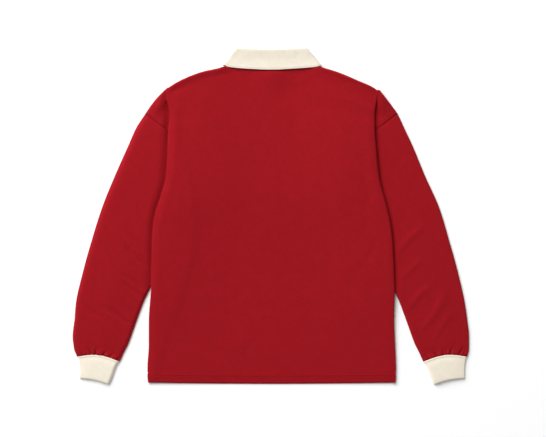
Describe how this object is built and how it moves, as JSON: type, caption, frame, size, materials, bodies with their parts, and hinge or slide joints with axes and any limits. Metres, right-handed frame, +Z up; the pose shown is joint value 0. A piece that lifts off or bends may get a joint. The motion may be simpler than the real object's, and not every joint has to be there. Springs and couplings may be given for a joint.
{
  "type": "knit polo shirt",
  "caption": "Long-sleeved knit polo shirt laid flat with its back up: ribbed collar and cuffs, dropped shoulders, turned-up hem and a buttoned front placket underneath.",
  "frame": {"origin": "middle of the garment's outline on the surface it lies on", "axes": "+X across the garment to the wearer's right, +Y towards the collar, +Z up from the surface out of the back"},
  "size_m": [0.895, 0.7592, 0.0123],
  "materials": {
    "back_jersey": "matte red heavy jersey with fine stitches and a little nap",
    "front_jersey": "matte red heavy jersey",
    "sleeve_left_jersey": "matte red heavy jersey",
    "sleeve_right_jersey": "matte red heavy jersey",
    "cuff_rib": "cream rib knit",
    "collar_rib": "cream rib knit",
    "placket_jersey": "red jersey, pressed flat",
    "button_horn": "polished cream plastic"
  },
  "bodies": {
    "root": {"back": "back_jersey", "front": "front_jersey", "sleeve_left": "sleeve_left_jersey", "sleeve_right": "sleeve_right_jersey", "cuff_left": "cuff_rib", "cuff_right": "cuff_rib", "collar": "collar_rib", "placket_over": "placket_jersey", "placket_under": "placket_jersey", "button_1": "button_horn", "button_2": "button_horn", "button_3": "button_horn"}
  },
  "joints": []
}
